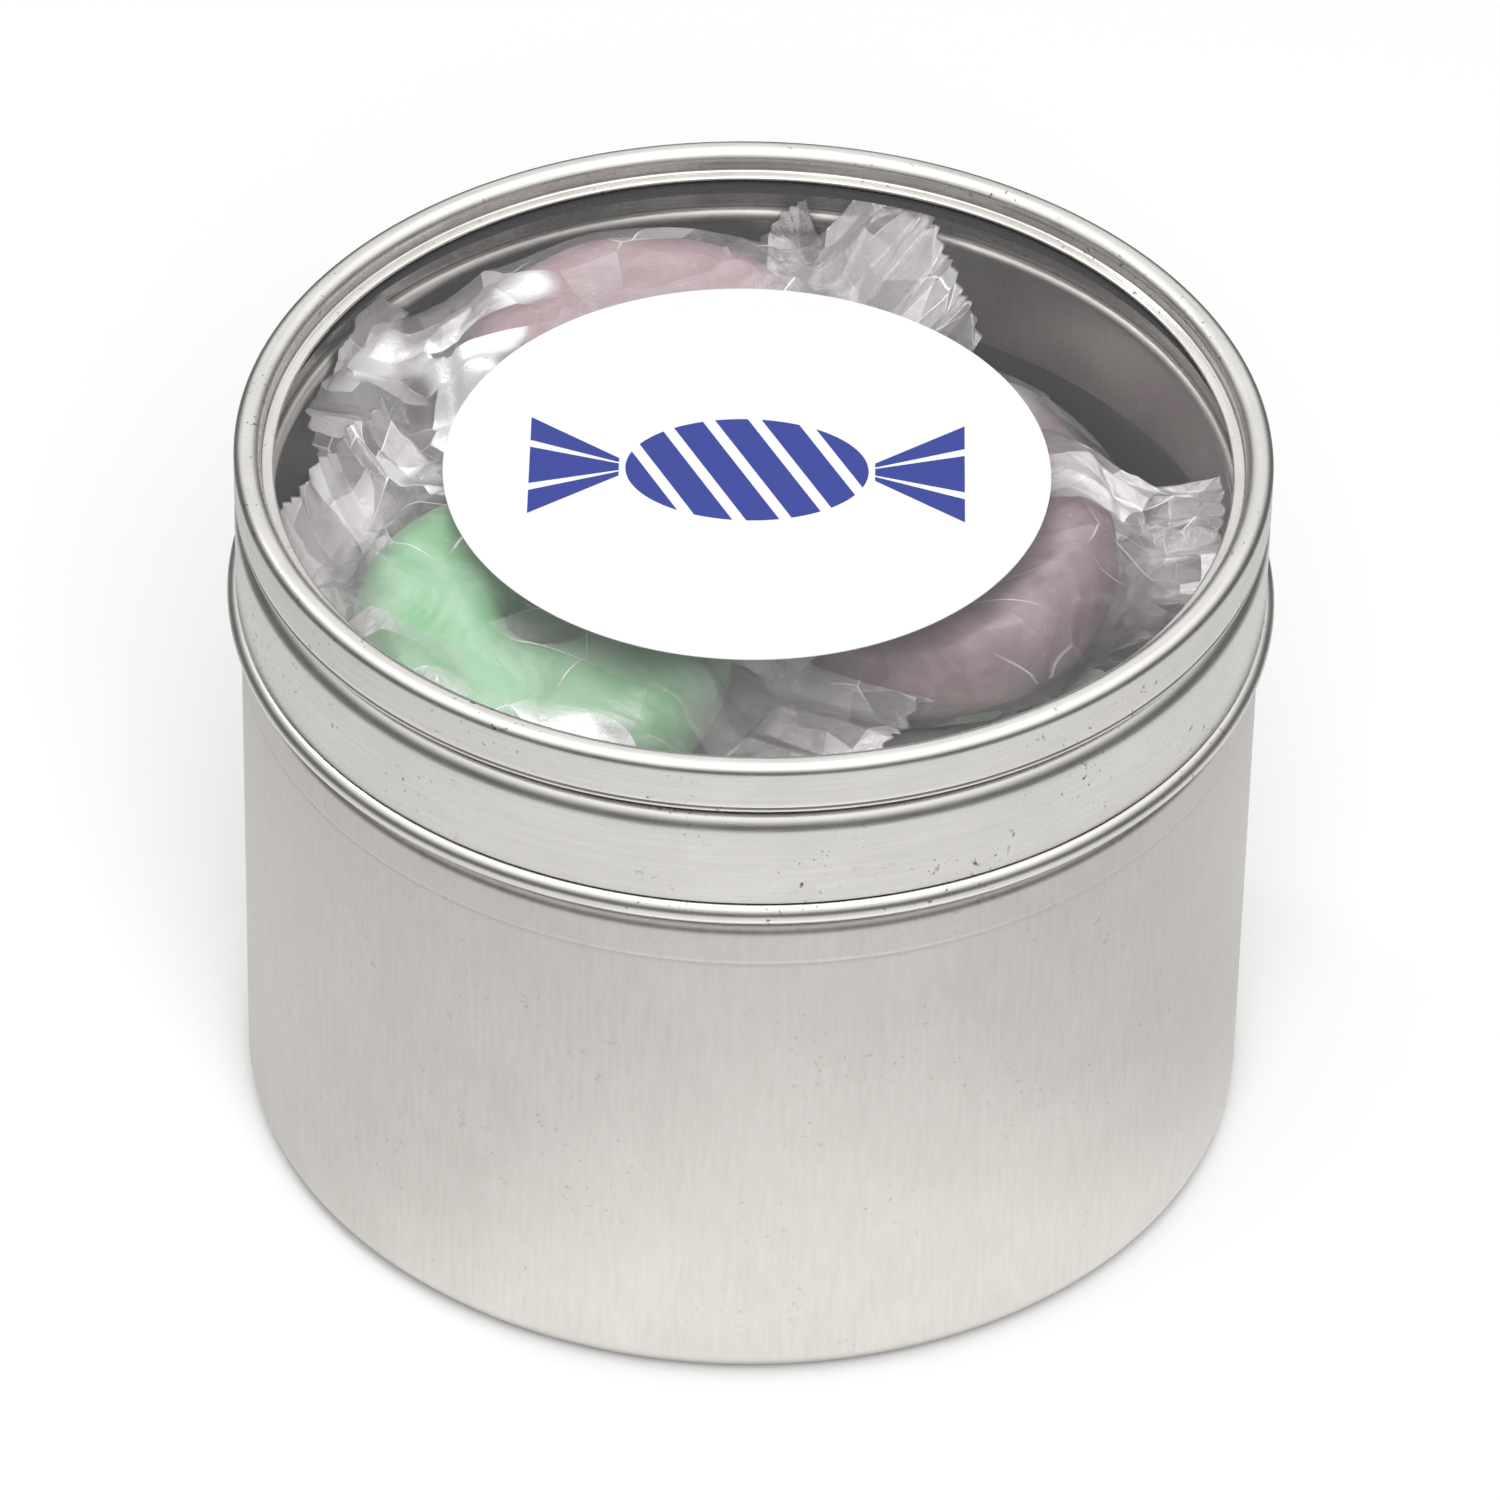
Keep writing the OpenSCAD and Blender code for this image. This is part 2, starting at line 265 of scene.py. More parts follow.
def spun(name, outline, material, steps=288, crisp=35):
    """A turned sheet from its closed half section in millimetres. Bends of over crisp degrees stay sharp."""
    points = [(r * MM - lathe_r, -z * MM, 0) for r, z in with_held_ends(outline)]
    count = len(points)
    half_section = bpy.data.meshes.new(name + "_outline")
    half_section.from_pydata(points, [(i, (i + 1) % count) for i in range(count)], [])
    source = add_object(name + "_outline", half_section)
    modifier = source.modifiers.new("spin", "NODES")
    modifier.node_group = spin_tree
    set_input(modifier, "Steps round", steps)
    set_input(modifier, "Finish", material)
    evaluated = source.evaluated_get(bpy.context.evaluated_depsgraph_get())
    mesh = bpy.data.meshes.new_from_object(evaluated)
    bpy.data.objects.remove(source)
    mesh.name = name
    close_seams(mesh, same_point)
    mesh.polygons.foreach_set("use_smooth", [True] * len(mesh.polygons))
    mesh.set_sharp_from_angle(angle=radians(crisp))
    return add_object(name, mesh)


spin_tree = spinning_tree()


def calculated(tree, operation, a, b=None, **settings):
    """The result of a Math node. Each of its one or two values is a number or a socket."""
    values = {0: a} if b is None else {0: a, 1: b}
    return node(tree, "ShaderNodeMath", values, operation=operation, **settings).outputs[0]


def noise(tree, inputs):
    return node(tree, "ShaderNodeTexNoise", inputs).outputs


def plate_grain():
    """Shade and height of worn tinplate: fine grain one way, soft clouds and a few dark nicks."""
    made = bpy.data.node_groups.new("plate_grain", "ShaderNodeTree")
    for name in ("Across", "Along", "Rings", "Clouds", "Nicks"):
        made.interface.new_socket(name, in_out="INPUT", socket_type="NodeSocketFloat")
    for name in ("Shade", "Height", "Nick"):
        made.interface.new_socket(name, in_out="OUTPUT", socket_type="NodeSocketFloat")
    given = node(made, "NodeGroupInput").outputs
    place = node(made, "ShaderNodeTexCoord").outputs["Object"]
    x, y, z = node(made, "ShaderNodeSeparateXYZ", {0: place}).outputs
    flat_place = node(made, "ShaderNodeCombineXYZ", {"X": x, "Y": y}).outputs[0]
    radius = node(made, "ShaderNodeVectorMath", {0: flat_place}, operation="LENGTH").outputs["Value"]

    # Up the wall the grain is long in z; round the lid it is long in x and y, with the radius added to z.
    rise = calculated(made, "ADD", z, calculated(made, "MULTIPLY", radius, given["Rings"]))
    sideways = blend(made, given["Rings"], given["Across"], given["Along"])
    upward = blend(made, given["Rings"], given["Along"], given["Across"])
    streak = node(made, "ShaderNodeCombineXYZ", {
        "X": calculated(made, "MULTIPLY", x, sideways),
        "Y": calculated(made, "MULTIPLY", y, sideways),
        "Z": calculated(made, "MULTIPLY", rise, upward),
    }).outputs[0]
    grain = noise(made, {"Vector": streak, "Scale": 1.0, "Detail": 4.0, "Roughness": 0.65})["Fac"]
    clouds = noise(made, {"Vector": place, "Scale": given["Clouds"], "Detail": 3.0, "Roughness": 0.6})["Fac"]

    specks = noise(made, {"Vector": place, "Scale": 1900.0, "Detail": 2.0, "Roughness": 0.7})["Fac"]
    patches = noise(made, {"Vector": place, "Scale": 150.0, "Detail": 2.0})["Fac"]
    few = calculated(made, "MULTIPLY", ramp(made, specks, 0.64, 0.70), ramp(made, patches, 0.48, 0.60))
    node(made, "NodeGroupOutput", {
        "Shade": blend(made, 0.45, grain, clouds),
        "Height": grain,
        "Nick": calculated(made, "MULTIPLY", few, given["Nicks"]),
    })
    return made


def tint(tree, share, first, second):
    """A colour that goes from the first to the second as share goes from 0 to 1."""
    return blend(tree, share, first, second, kind="RGBA")


grain_group = plate_grain()
nick_black = (0.12, 0.11, 0.10)
# Painted shade: where other metal closes the plate in within this reach, its colour darkens towards this
# brown.
painted_shade_brown = (0.10, 0.09, 0.08)
painted_shade_reach = 3 * MM
# The grain's shade mostly stays between these two values, which become the ends of colour and roughness.
least_shade, most_shade = 0.3, 0.7


def tinplate(name, dark, light, rough, grain, bump):
    """Satin tinplate between two shades and two roughnesses, with the grain's values by name, and painted
    shade in its recesses.
    """
    material, tree, surface = new_material(name)
    pattern = node(tree, "ShaderNodeGroup", grain, node_tree=grain_group).outputs
    bare = tint(tree, ramp(tree, pattern["Shade"], least_shade, most_shade), dark, light)
    nicked = tint(tree, pattern["Nick"], bare, nick_black)
    # Painted shade: the colour goes dark brown where the ambient occlusion node finds the plate closed in,
    # under the bead and in the grooves.
    openness = node(tree, "ShaderNodeAmbientOcclusion", {"Distance": painted_shade_reach}, samples=6).outputs["AO"]
    relief = {"Strength": bump, "Distance": 0.05 * MM, "Height": pattern["Height"]}
    fill(tree, surface, {
        "Base Color": tint(tree, fading(tree, openness, 0.10, 0.62), painted_shade_brown, nicked),
        "Metallic": 1.0,
        "Roughness": ramp(tree, pattern["Shade"], least_shade, most_shade, *rough),
        "Normal": node(tree, "ShaderNodeBump", relief).outputs["Normal"],
    })
    return material


drawn_plate = tinplate(
    "drawn_tinplate", (0.53, 0.51, 0.48), (0.64, 0.617, 0.585), (0.32, 0.42),
    {"Across": 2600.0, "Along": 320.0, "Rings": 0.0, "Clouds": 160.0, "Nicks": 0.25}, 0.35,
)

# Sizes of the pieces are in millimetres: radii from the tin's axis, and heights above the table.
plate = 0.3
tin_r = 32.15
corner_r = 1.8
foot_in = 27.35
foot_round, foot_step = 0.4, 0.06
base_rise, slope_rise = 0.5, 0.375
base_slope, inner_slope = 1.2, 0.5
shoulder_z = 37.0
shoulder_r = 0.9
neck_r = 31.2
neck_fillet = 0.2
mouth_z = 45.35
roll_r = 0.6
roll_foot_z = mouth_z - 1.4
crease_z = 33.98
# Each point of the crease: how far it stands out from the wall, and how far above the crease's height.
crease = ((0, -0.12), (-0.015, -0.04), (-0.015, 0.04), (0.005, 0.14), (0, 0.3))
tin_outline = (
    [(0, base_rise), (foot_in - base_slope, base_rise), (foot_in - base_slope / 2, slope_rise)]
    + [(foot_in, foot_step), (foot_in + foot_round, 0)]
    + arc(tin_r - corner_r, corner_r, corner_r, -90, 0)
    + [(tin_r + out, crease_z + up) for out, up in crease]
    + arc(tin_r - shoulder_r, shoulder_z - shoulder_r, shoulder_r, 0, 82)
    + arc(neck_r + neck_fillet, shoulder_z + neck_fillet, neck_fillet, 250, 180, 4)
    + arc(neck_r - roll_r, mouth_z - roll_r, roll_r, 0, 300, 24)
    + [(neck_r - plate, roll_foot_z), (neck_r - plate, shoulder_z + neck_fillet)]
    + arc(tin_r - shoulder_r, shoulder_z - shoulder_r, shoulder_r - plate, 82, 0)
    + arc(tin_r - corner_r, corner_r, corner_r - plate, 0, -90)
    + [(foot_in + foot_round, plate), (foot_in - inner_slope, base_rise + plate), (0, base_rise + plate)]
)
tin_body = spun("tin_body_plate", tin_outline, drawn_plate)
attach(tin_body, "tin")
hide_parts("tin_body")


# Lid.
# One tinplate pressing that slips over the neck: a rolled lower edge, skirt, rounded shoulder, a groove,
# then the collar, whose top is rolled over inward to a lip that holds the window down.
lid_plate = tinplate(
    "spun_tinplate", (0.62, 0.605, 0.575), (0.77, 0.753, 0.718), (0.22, 0.32),
    {"Across": 2600.0, "Along": 120.0, "Rings": 1.0, "Clouds": 200.0, "Nicks": 0.9}, 0.3,
)
lid_r = 33.0
edge_roll = 0.75
edge_roll_z = 38.2
skirt_r = 32.45
lid_shoulder_z = 45.7
lid_shoulder_r = 1.3
groove_r = 30.95
collar_z = 46.05
collar_fillet = 0.25
top_z = 49.5
rim_out_r, rim_in_r = 0.61, 0.75
open_r = 30.75
lip_z = 48.1
lip_r = 30.1
lip_fillet = 0.15
# The score line round the collar and the nip over the rolled edge. Each point is given off the outside, and
# above the collar's foot or the middle of the roll.
score = ((0, 0.55), (-0.05, 0.42), (0, 0.3))
nip = ((0, 0.82), (-0.14, 0.76), (-0.12, 0.72))
lid_outline = (
    arc(lid_r - edge_roll, edge_roll_z, edge_roll, 68, -232, 36)
    + [(skirt_r - plate, lid_shoulder_z - lid_shoulder_r)]
    + arc(skirt_r - lid_shoulder_r, lid_shoulder_z - lid_shoulder_r, lid_shoulder_r - plate, 0, 90)
    + [(groove_r - plate, lid_shoulder_z - plate), (groove_r - plate, collar_z + plate)]
    + [(skirt_r - plate, collar_z + plate)]
    + arc(skirt_r - rim_out_r, top_z - rim_out_r, rim_out_r - plate, 0, 90)
    + arc(open_r + rim_in_r, top_z - rim_in_r, rim_in_r - plate, 90, 180)
    + [(open_r + plate, lip_z - plate), (lip_r, lip_z - plate)]
    + arc(lip_r, lip_z - plate / 2, plate / 2, 270, 90, 6)
    + arc(open_r - lip_fillet, lip_z + lip_fillet, lip_fillet, -90, 0, 4)
    + arc(open_r + rim_in_r, top_z - rim_in_r, rim_in_r, 180, 90, 14)
    + arc(skirt_r - rim_out_r, top_z - rim_out_r, rim_out_r, 90, 0, 12)
    + [(skirt_r + out, collar_z + up) for out, up in score]
    + arc(skirt_r - collar_fillet, collar_z + collar_fillet, collar_fillet, 0, -90, 5)
    + [(groove_r, collar_z), (groove_r, lid_shoulder_z)]
    + arc(skirt_r - lid_shoulder_r, lid_shoulder_z - lid_shoulder_r, lid_shoulder_r, 90, 0, 14)
    + [(skirt_r + out, edge_roll_z + up) for out, up in nip]
)
lid_ring = spun("lid_ring_plate", lid_outline, lid_plate)
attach(lid_ring, "lid")
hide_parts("lid_ring")


# Window.
# A disc of clear plastic sheet with its edge turned down. It is dropped into the lid, onto the ledge of the
# groove, before the rim is rolled over it.
def clear_sheet():
    """Nearly unseen from above and milky at a flat angle, with a painted reflection: a white veil whose
    strength grows with the angle. Only the faces turned to the eye show.
    """
    material, tree, surface = new_material("clear_sheet")
    facing = node(tree, "ShaderNodeLayerWeight", {"Blend": 0.3}).outputs["Facing"]
    # Painted reflection: the sheet's white colour shows more the flatter it is seen.
    painted_reflection_haze = fading(tree, facing, 0.1, 1.0, low=0.02, high=0.6)
    under_face = node(tree, "ShaderNodeNewGeometry").outputs["Backfacing"]
    fill(tree, surface, {
        "Base Color": (0.95, 0.96, 0.97),
        "Roughness": 0.04,
        "Alpha": blend(tree, under_face, painted_reflection_haze, 0.0),
    })
    return material


pane_t = 0.3
pane_r = 32.05
pane_z = 47.7
pane_foot_z = 46.45
pane_bend = 0.6
pane_outline = (
    [(0, pane_z - pane_t), (pane_r - pane_bend, pane_z - pane_t)]
    + arc(pane_r - pane_bend, pane_z - pane_bend, pane_bend - pane_t, 90, 0, 4)
    + [(pane_r - pane_t, pane_foot_z), (pane_r, pane_foot_z)]
    + arc(pane_r - pane_bend, pane_z - pane_bend, pane_bend, 0, 90, 6)
    + [(0, pane_z)]
)
window_pane = spun("window_sheet", pane_outline, clear_sheet(), steps=160)
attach(window_pane, "lid")
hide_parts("window_pane")


# Label.
# A round sticker of coated paper, stuck on the window a little off its middle. It is printed in one blue
# with a plain wrapped sweet: a striped oval between two pleated fans.
label_r = 19.0
label_t = 0.1
label_edge = 0.02
label_place = Vector((-0.4 * MM, -0.7 * MM, 0))
oval_long, oval_high = 7.6 * MM, 5.2 * MM
stripe_pitch, stripe_gap, stripe_slant = 3.0 * MM, 0.84 * MM, 0.5
fan_start, fan_end = 8.0 * MM, 13.6 * MM
fan_knot, fan_slope = 0.9 * MM, 0.72
pleat_at, pleat_half = 0.45, 0.07
paper_white = (0.93, 0.93, 0.93)
print_blue = (0.019, 0.040, 0.28)


def printed_sweet(tree, x, y):
    """1 where the ink is and 0 elsewhere, from the place on the label in metres."""
    across = calculated(tree, "ABSOLUTE", x)
    up = calculated(tree, "ABSOLUTE", y)
    long_part = calculated(tree, "POWER", calculated(tree, "DIVIDE", across, oval_long), 2)
    high_part = calculated(tree, "POWER", calculated(tree, "DIVIDE", up, oval_high), 2)
    in_oval = calculated(tree, "LESS_THAN", calculated(tree, "ADD", long_part, high_part), 1)
    slanted = calculated(tree, "ADD", x, calculated(tree, "MULTIPLY", y, stripe_slant))
    from_gap = calculated(tree, "PINGPONG", slanted, stripe_pitch / 2)
    striped = calculated(tree, "GREATER_THAN", from_gap, stripe_gap / 2)
    from_knot = calculated(tree, "SUBTRACT", across, fan_start)
    spread = calculated(tree, "ADD", calculated(tree, "MULTIPLY", from_knot, fan_slope), fan_knot)
    in_fan = calculated(tree, "LESS_THAN", up, spread)
    in_fan = calculated(tree, "MULTIPLY", in_fan, calculated(tree, "LESS_THAN", across, fan_end))
    in_fan = calculated(tree, "MULTIPLY", in_fan, calculated(tree, "GREATER_THAN", across, fan_start))
    from_pleat = calculated(tree, "SUBTRACT", calculated(tree, "DIVIDE", up, spread), pleat_at)
    pleated = calculated(tree, "GREATER_THAN", calculated(tree, "ABSOLUTE", from_pleat), pleat_half)
    oval_ink = calculated(tree, "MULTIPLY", in_oval, striped)
    return calculated(tree, "MAXIMUM", oval_ink, calculated(tree, "MULTIPLY", in_fan, pleated))


def coated_paper():
    """White paper with the blue print, centred on the label."""
    material, tree, surface = new_material("coated_paper")
    place = node(tree, "ShaderNodeTexCoord").outputs["Object"]
    centred = node(tree, "ShaderNodeMapping", {"Vector": place, "Location": tuple(-label_place)})
    x, y, _ = node(tree, "ShaderNodeSeparateXYZ", {0: centred.outputs[0]}).outputs
    ink = printed_sweet(tree, x, y)
    fill(tree, surface, {"Base Color": tint(tree, ink, paper_white, print_blue), "Roughness": 0.45})
    return material


label_outline = [
    (0, pane_z), (label_r - label_edge, pane_z), (label_r, pane_z + label_edge),
    (label_r, pane_z + label_t - label_edge), (label_r - label_edge, pane_z + label_t), (0, pane_z + label_t),
]
label = spun("label_sticker", label_outline, coated_paper(), steps=160)
label.data.transform(Matrix.Translation(label_place))
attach(label, "lid")
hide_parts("label")


# Sweets.
# Rings of boiled sugar, pressed while warm: rounded all over, cloudy inside, and never quite round. Nine lie
# in three layers in the tin, and six lie loose on them under the window.
bubble_white = (0.9, 0.95, 0.9)


def boiled_sugar(name, deep, pale):
    """Sugar with pale clouds drawn through a deeper colour, and small bubbles that catch the light."""
    material, tree, surface = new_material(name)
    place = node(tree, "ShaderNodeTexCoord").outputs["Object"]
    drawn = {"Vector": place, "Scale": 170.0, "Detail": 4.0, "Roughness": 0.6, "Distortion": 1.2}
    veins = noise(tree, drawn)["Fac"]
    clouded = tint(tree, ramp(tree, veins, 0.42, 0.68), deep, pale)
    bubbles = node(tree, "ShaderNodeTexVoronoi", {"Vector": place, "Scale": 900.0}).outputs["Distance"]
    dots = ramp(tree, bubbles, 0.14, 0.06, low=0.0, high=0.22)
    relief = {"Strength": 0.25, "Distance": 0.2 * MM, "Height": veins}
    fill(tree, surface, {
        "Base Color": tint(tree, dots, clouded, bubble_white),
        "Subsurface Weight": 0.4,
        "Subsurface Radius": (1.0, 1.0, 1.0),
        "Subsurface Scale": 1.5 * MM,
        "Roughness": 0.22,
        "Normal": node(tree, "ShaderNodeBump", relief).outputs["Normal"],
    })
    return material


green_sugar = boiled_sugar("green_sugar", (0.26, 0.56, 0.29), (0.43, 0.70, 0.46))
mauve_sugar = boiled_sugar("mauve_sugar", (0.31, 0.19, 0.22), (0.46, 0.33, 0.355))
pink_sugar = boiled_sugar("pink_sugar", (0.38, 0.22, 0.25), (0.52, 0.38, 0.40))

# How a wrapped sweet lies: its lean and the bearings of its low side and of its right film end, in degrees.
# Then the length, upward bend, width and sideways drift of the right and of the left end, and the sugar.
Lie = namedtuple("Lie", "lean low_side ends right left sugar")
loose = {
    10: Lie(14, 120, 26, (6.0, 5, 15, 0), (6.0, 0, 15, 0), green_sugar),
    11: Lie(14, 20, 79, (10.0, 28, 19, 2), (9.0, 33, 18, 2), mauve_sugar),
    12: Lie(14, -90, -38, (8.0, 25, 17, 2), (11.0, 42, 19, 3), mauve_sugar),
    13: Lie(8, -60, -28, (11.0, 5, 19, 1), (8.5, -8, 20, 5), green_sugar),
    14: Lie(8, 200, -4, (7.0, 8, 15, 0), (6.0, -20, 15, 0), mauve_sugar),
    15: Lie(9, -100, 16, (10.0, 18, 18, 5), (10.5, 12, 21, 2), pink_sugar),
}
stack_count, per_layer, first_bearing = 9, 3, 120
straight_end = (5.0, 0, 12, 0)
stacked = {}
for i in range(stack_count):
    # Each layer is turned by half the angle between two sweets of the layer below.
    bearing = first_bearing + 360 / per_layer * (i % per_layer + (i // per_layer) / 2)
    sugar = mauve_sugar if i % 2 else green_sugar
    stacked[i + 1] = Lie(0, 0, bearing, straight_end, straight_end, sugar)
lay = {**stacked, **loose}


def placing(number):
    """Where a sweet lies: its middle is that of its solid, and it leans as its solid does."""
    low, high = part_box("sweet_%02d" % number)
    lie = lay[number]
    turn = (
        Matrix.Rotation(radians(lie.low_side), 4, "Z")
        @ Matrix.Rotation(radians(lie.lean), 4, "Y")
        @ Matrix.Rotation(radians(lie.ends - lie.low_side), 4, "Z")
    )
    return Matrix.Translation((low + high) / 2) @ turn


sweet_r = 12.0
sweet_half = 3.7
sweet_edge = 3.0
hole_r = 2.4
hole_edge = 2.0
# Shares of the ring's width and thickness by which it is oval, rippled and uneven.
oval_share, ripple_share, uneven_share = 0.012, 0.007, 0.02
fine_steps, coarse_steps = 96, 40
ring_outline = (
    arc(sweet_r - sweet_edge, sweet_edge - sweet_half, sweet_edge, -90, 0, 8)
    + arc(sweet_r - sweet_edge, sweet_half - sweet_edge, sweet_edge, 0, 90, 8)
    + arc(hole_r + hole_edge, sweet_half - hole_edge, hole_edge, 90, 180, 6)
    + arc(hole_r + hole_edge, hole_edge - sweet_half, hole_edge, 180, 270, 6)
)


def boiled_sweet(number):
    """A ring pressed a little out of round, thinner here and there, and laid in its place."""
    steps = fine_steps if number in loose else coarse_steps
    ring = spun("boiled_sweet_%02d" % number, ring_outline, lay[number].sugar, steps, crisp=60)
    for vertex in ring.data.vertices:
        x, y, z = vertex.co
        around = atan2(y, x)
        swell = oval_share * sin(2 * around + number) + ripple_share * sin(5 * around + 2 * number)
        thin = uneven_share * (1 + sin(3 * around + number))
        vertex.co = (x * (1 - abs(swell)), y * (1 - abs(swell)), z * (1 - thin))
    ring.data.transform(placing(number))
    return ring


for number in lay:
    ring = boiled_sweet(number)
    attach(ring, "tin")
    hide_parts("sweet_%02d" % number)


# Wrappers.
# Clear film bags, one to a sweet, pulled down over it and crumpled, with both ends pressed flat and cut off
# along a saw edge. The film is stiff, so it folds in straight creases that catch the lamps; the brightest
# crease lines and glints are painted highlights in its colour.
large_facets, small_facets = 0.11, 0.30
large_tilt, small_tilt = 0.8, 0.6
facet_stretch, facet_bend = (0.65, 1.15, 1.0), (2.0, 2.0, 0.0)
# Painted reflection: each facet of the film is painted between these two tones, as though it caught the lamps
# or not.
panel_dim, panel_bright = (0.50, 0.45, 0.47), (0.95, 0.89, 0.91)
painted_glint_white = (0.97, 0.97, 0.97)


def clear_film():
    """Film in flat facets, some of them milky, with painted highlights on creases, painted glints, and facets
    painted lighter or darker as a painted reflection; it is clearest where it clings.

    Its patterns lie on the flat layout of the sheet, in millimetres.
    """
    material, tree, surface = new_material("clear_film")
    sheet = node(tree, "ShaderNodeUVMap", uv_map="sheet").outputs["UV"]
    warp = noise(tree, {"Vector": sheet, "Scale": 0.12, "Detail": 1.0})

    def vector(operation, *values):
        return node(tree, "ShaderNodeVectorMath", dict(enumerate(values)), operation=operation).outputs[0]

    def times(a, b):
        return calculated(tree, "MULTIPLY", a, b)

    stretched = vector("MULTIPLY", sheet, facet_stretch)
    bent = vector("MULTIPLY_ADD", warp["Color"], facet_bend, stretched)

    def facets(scale, **settings):
        cells = {"Vector": bent, "Scale": scale}
        return node(tree, "ShaderNodeTexVoronoi", cells, voronoi_dimensions="2D", **settings).outputs

    # Each facet leans by its cell's random colour, taken about the middle.
    normal = node(tree, "ShaderNodeNewGeometry").outputs["Normal"]
    for scale, tilt in ((large_facets, large_tilt), (small_facets, small_tilt)):
        leaning = vector("SUBTRACT", facets(scale)["Color"], (0.5, 0.5, 0.5))
        normal = vector("MULTIPLY_ADD", leaning, (tilt, tilt, tilt), normal)
    normal = vector("NORMALIZE", normal)
    rubbed = {"Vector": sheet, "Scale": 1.6, "Detail": 3.0, "Roughness": 0.7, "Distortion": 2.0}
    scratches = noise(tree, rubbed)["Fac"]
    relief = {"Strength": 0.35, "Distance": 0.3 * MM, "Height": scratches, "Normal": normal}

    large = node(tree, "ShaderNodeSeparateColor", {0: facets(large_facets)["Color"]}).outputs
    small = node(tree, "ShaderNodeSeparateColor", {0: facets(small_facets)["Color"]}).outputs
    milky = fading(tree, times(large["Blue"], small["Blue"]), 0.05, 0.60, low=0.16, high=0.88)
    some = fading(tree, warp["Fac"], 0.50, 0.60)
    # Painted highlights: white lines along some facet edges, and small facets painted white as glints, fewer
    # where the film clings.
    to_edge = facets(small_facets, feature="DISTANCE_TO_EDGE")["Distance"]
    painted_crease_highlights = times(ramp(tree, to_edge, 0.022, 0.0, low=0.0, high=0.8), some)
    cling = node(tree, "ShaderNodeAttribute", attribute_name="cling").outputs["Fac"]
    painted_glints = times(fading(tree, small["Red"], 0.86, 0.90), some)
    painted_glints = times(painted_glints, fading(tree, cling, 0.2, 0.9, low=1.0, high=0.05))
    painted_highlights = calculated(tree, "MAXIMUM", painted_crease_highlights, painted_glints)

    # Painted reflection: each facet's colour is painted lighter or darker at random, as if it mirrored the
    # lamp or not.
    painted_panel_sheen = tint(tree, small["Green"], panel_dim, panel_bright)
    facing = node(tree, "ShaderNodeLayerWeight", {"Blend": 0.5, "Normal": normal}).outputs["Facing"]
    # Painted reflection: at a flat angle the film is made more opaque, so its pale colour shows as a sheen.
    grazing = times(calculated(tree, "POWER", facing, 2.0), 0.4)
    cover = blend(tree, cling, calculated(tree, "ADD", grazing, milky), times(milky, 0.3))
    fill(tree, surface, {
        "Base Color": tint(tree, painted_highlights, painted_panel_sheen, painted_glint_white),
        "Roughness": 0.12,
        "IOR": 2.2,
        "Specular IOR Level": 1.0,
        "Alpha": calculated(tree, "ADD", cover, painted_highlights, use_clamp=True),
        "Normal": node(tree, "ShaderNodeBump", relief).outputs["Normal"],
    })
    return material


film = clear_film()
film_t = 0.08
film_gap = 0.3
film_r, film_half, film_edge = sweet_r + film_gap, sweet_half + film_gap, sweet_edge + film_gap
slack = 0.7
# The ends start at the hinge. Over these lengths beyond it the film comes down flat, and then bends.
hinge = film_r - 0.5
flat_from, flat_over, bend_over = 1.2, 2.2, 2
tent_top, tent_end = 8.0, hinge + flat_over
end_skew, drift_power = 0.5, 1.5
tooth_pitch, tooth_depth, tooth_power = 1.1, 0.45, 8
# The film lies tight over the middle of the ring and loosens outward. Its folds fade out at the rim.
tight_r, loose_r, least_loose = 6.0, 12.0, 0.10
rim_fade, seam = 0.125, 0.999
fold_x, fold_y = 21, 12
fold_wide, fold_long, fold_steep = (1.0, 5.0), (6, 20), (0.12, 0.32)
fold_count, lengthways = 40, 0.5
small_fold_count, small_lengthways, small_fold_size, small_fold_depth = 50, 0.4, 1.8, 0.4
throat_half, throat_pleats, throat_depth = 5, 3.5, 1.1
end_pleats, pleat_slant, pleat_depth, end_folds = (1.6, 2.6), 0.3, 1.1, 0.8
cling_fade = 2.5
# The film clings over the whole face of the front green sweet, and less over the others.
tightest, looser_cling = 13, 0.35
# Where the film may reach, with a small gap to the tin, the window and the other sweets.
wall_inner = tin_r - plate - 0.15
neck_inner = neck_r - plate - 0.3
mouth_inner = neck_r - 2 * roll_r - 0.25
neck_foot, mouth_foot = shoulder_z - 1.2, mouth_z - 1.75
over_base = base_rise + plate + 0.1
under_window = pane_z - pane_t - 0.3
film_apart = 0.12
climb = 0.6
passes = 2
tiny = 1e-6
sheet_apart = 60.0
fine_grid, coarse_grid = (200, 128), (60, 40)
same_rim_point = 2e-6


def zigzag(t):
    """A triangle wave from 0 to 1 that repeats every 1."""
    return 2 * np.abs(t - np.floor(t + 0.5))


def fold_field(x, y, chance, count, along):
    """Straight creases with flat sides, a share of them running along the bag."""
    total = np.zeros_like(x)
    for _ in range(count):
        turn = chance.normal(0, 0.4) if chance.random() < along else chance.uniform(-pi / 2, pi / 2)
        at_x, at_y = chance.uniform(-fold_x, fold_x), chance.uniform(-fold_y, fold_y)
        off = -(x - at_x) * sin(turn) + (y - at_y) * cos(turn)
        way = (x - at_x) * cos(turn) + (y - at_y) * sin(turn)
        wide, long = chance.uniform(*fold_wide), chance.uniform(*fold_long)
        ridge = np.maximum(0, 1 - np.abs(off) / wide) * np.maximum(0, 1 - np.abs(way) / long)
        total += chance.uniform(*fold_steep) * wide * chance.choice((-1, 1)) * ridge
    return total


